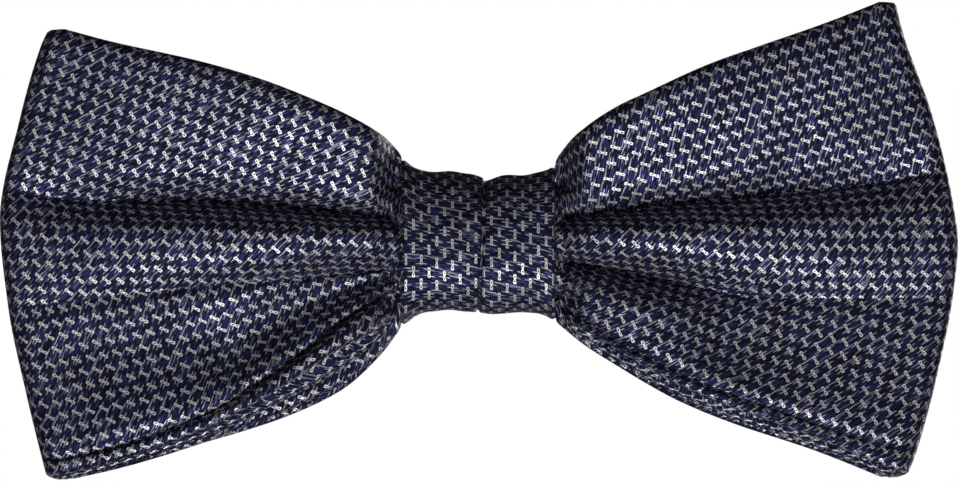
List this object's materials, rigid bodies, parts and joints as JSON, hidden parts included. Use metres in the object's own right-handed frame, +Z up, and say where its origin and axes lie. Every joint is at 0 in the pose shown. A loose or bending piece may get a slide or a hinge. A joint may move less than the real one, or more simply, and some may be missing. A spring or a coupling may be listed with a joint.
{
  "type": "clip-on bow tie",
  "caption": "Pre-tied butterfly bow tie in patterned navy jacquard with a wrapped knot and a sprung collar clip held in a keeper loop behind it.",
  "frame": {"origin": "centre of the clip plate's rear face, where the shirt collar lies", "axes": "+X to the viewer's right along the wings, +Y towards the wearer's collar, +Z up; the front faces -Y"},
  "size_m": [0.12, 0.0251, 0.0602],
  "materials": {
    "jacquard": "navy jacquard with light pick-and-pick bars, satin lustre",
    "interlining": "plain woven stiffener",
    "thread": "navy sewing thread",
    "lining_cloth": "plain navy grosgrain",
    "nickel_steel": "nickel-plated stamped steel",
    "pin_steel": "bright plated",
    "spring_wire": "drawn spring wire",
    "pad_rubber": "matt black rubber"
  },
  "bodies": {
    "bow": {"front_bow": "jacquard", "front_bow_interlining": "interlining", "rear_bow": "jacquard", "rear_bow_interlining": "interlining", "knot_band": "jacquard", "knot_interlining": "interlining", "gathering_thread": "thread", "knot_seam_stitches": "thread", "keeper_loop": "lining_cloth", "keeper_stitches": "thread", "clip_plate": "nickel_steel", "left_hinge_pin": "pin_steel", "right_hinge_pin": "pin_steel", "left_spring": "spring_wire", "right_spring": "spring_wire"},
    "left_arm": {"left_clip_arm": "nickel_steel", "left_grip_pad": "pad_rubber"},
    "right_arm": {"right_clip_arm": "nickel_steel", "right_grip_pad": "pad_rubber"}
  },
  "joints": [
    {"name": "left_arm_hinge", "type": "hinge", "parent": "bow", "child": "left_arm", "pos_m": [-0.01, 0.0023, 0], "axis": [0, 0, -1], "range_deg": [0, 28], "stiffness_Nm_per_rad": 0.05, "springref_deg": -51.57, "deforming": ["left_spring"]},
    {"name": "right_arm_hinge", "type": "hinge", "parent": "bow", "child": "right_arm", "pos_m": [0.01, 0.0023, 0], "axis": [0, 0, 1], "range_deg": [0, 28], "stiffness_Nm_per_rad": 0.05, "springref_deg": -51.57, "deforming": ["right_spring"]}
  ]
}
